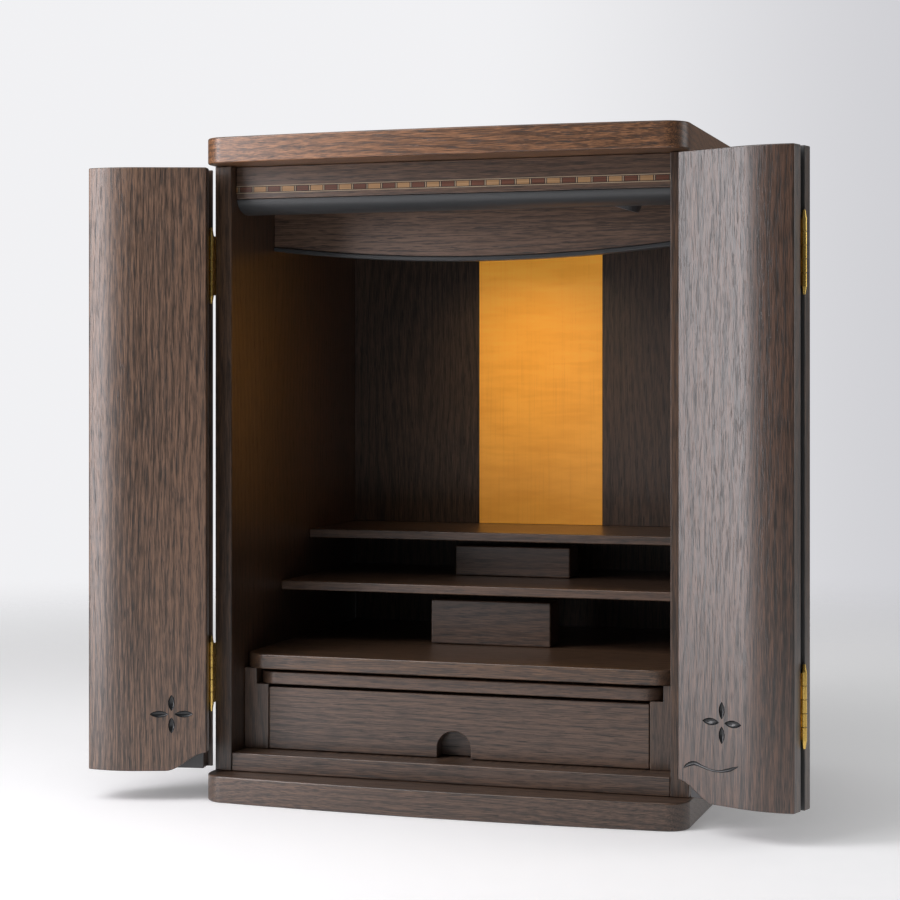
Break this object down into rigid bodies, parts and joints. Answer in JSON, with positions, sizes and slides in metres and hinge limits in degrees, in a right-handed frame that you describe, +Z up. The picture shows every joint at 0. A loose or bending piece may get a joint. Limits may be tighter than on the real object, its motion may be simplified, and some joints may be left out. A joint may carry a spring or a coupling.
{
  "type": "household altar cabinet",
  "caption": "Upright dark oak altar cabinet with folding double doors, shelves, an amber back panel, a drawer and a pull-out board.",
  "frame": {"origin": "on the floor, under the middle of the base board", "axes": "+Z up, front of the cabinet towards -Y, +X to the right as seen from the front"},
  "size_m": [0.6566, 0.3951, 0.6],
  "materials": {
    "oak": "dark stained open-pore oak, satin",
    "oak_warm": "dark stained open-pore oak, slightly warmer, satin",
    "charcoal": "charcoal grey satin lacquer on wood",
    "amber": "amber figured veneer under a glossy clear coat",
    "inlay": "marquetry of pale and reddish woods with dark lines",
    "lamp": "dark grey satin enamel",
    "plain_wood": "plain drawer-side wood, clear matt",
    "brass": "polished brass"
  },
  "bodies": {
    "case": {"base_board": "oak", "top_board": "oak_warm", "side_panel_left": "oak", "side_panel_right": "oak", "back_board": "oak", "back_lining_left": "oak", "back_lining_right": "oak", "amber_panel": "amber", "ceiling_board": "oak", "lintel": "oak", "inlay_band": "inlay", "cove_moulding": "charcoal", "valance_board": "oak", "valance_strip": "charcoal", "deck_board": "oak_warm", "middle_shelf": "oak_warm", "upper_shelf": "oak_warm", "stand_lower": "oak", "stand_upper": "oak", "kick_board": "oak", "drawer_floor": "oak", "stile_left": "oak", "stile_right": "oak", "runner_left": "oak", "runner_right": "oak", "spot_bracket": "lamp", "case_hinge_left_lower_pin": "brass", "case_hinge_left_upper_pin": "brass", "case_hinge_right_lower_pin": "brass", "case_hinge_right_upper_pin": "brass"},
    "door_left_a": {"door_left_leaf_a": "oak", "case_hinge_left_lower_leaf": "brass", "case_hinge_left_upper_leaf": "brass", "fold_hinge_left_lower_pin": "brass", "fold_hinge_left_upper_pin": "brass"},
    "door_left_b": {"door_left_leaf_b": "oak", "fold_hinge_left_lower_leaf": "brass", "fold_hinge_left_upper_leaf": "brass"},
    "door_right_a": {"door_right_leaf_a": "oak", "case_hinge_right_lower_leaf": "brass", "case_hinge_right_upper_leaf": "brass", "fold_hinge_right_lower_pin": "brass", "fold_hinge_right_upper_pin": "brass"},
    "door_right_b": {"door_right_leaf_b": "oak", "fold_hinge_right_lower_leaf": "brass", "fold_hinge_right_upper_leaf": "brass"},
    "drawer": {"drawer_front": "oak", "drawer_box": "plain_wood"},
    "pullout": {"pullout_board": "oak"},
    "spot": {"spot_head": "lamp"}
  },
  "joints": [
    {"name": "door_left_open", "type": "hinge", "parent": "case", "child": "door_left_a", "pos_m": [-0.22, -0.158, 0.3], "axis": [0, 0, -1], "range_deg": [-170.5, 0]},
    {"name": "door_left_fold", "type": "hinge", "parent": "door_left_a", "child": "door_left_b", "pos_m": [-0.3271, -0.18444, 0.3], "axis": [0, 0, -1], "range_deg": [0, 182.9]},
    {"name": "door_right_open", "type": "hinge", "parent": "case", "child": "door_right_a", "pos_m": [0.22, -0.158, 0.3], "axis": [0, 0, 1], "range_deg": [-164.5, 0]},
    {"name": "door_right_fold", "type": "hinge", "parent": "door_right_a", "child": "door_right_b", "pos_m": [0.32376, -0.19549, 0.3], "axis": [0, 0, 1], "range_deg": [0, 182.9]},
    {"name": "drawer_slide", "type": "slide", "parent": "case", "child": "drawer", "axis": [0, -1, 0], "range_m": [0, 0.15]},
    {"name": "pullout_slide", "type": "slide", "parent": "case", "child": "pullout", "axis": [0, -1, 0], "range_m": [0, 0.14]},
    {"name": "spot_tilt", "type": "hinge", "parent": "case", "child": "spot", "pos_m": [0.152, -0.09, 0.546], "axis": [0, 1, 0], "range_deg": [-30, 10]}
  ],
  "couplings": [
    {"joint": "door_left_fold", "follows": "door_left_open", "ratio": -1.0716},
    {"joint": "door_right_fold", "follows": "door_right_open", "ratio": -1.1106}
  ]
}
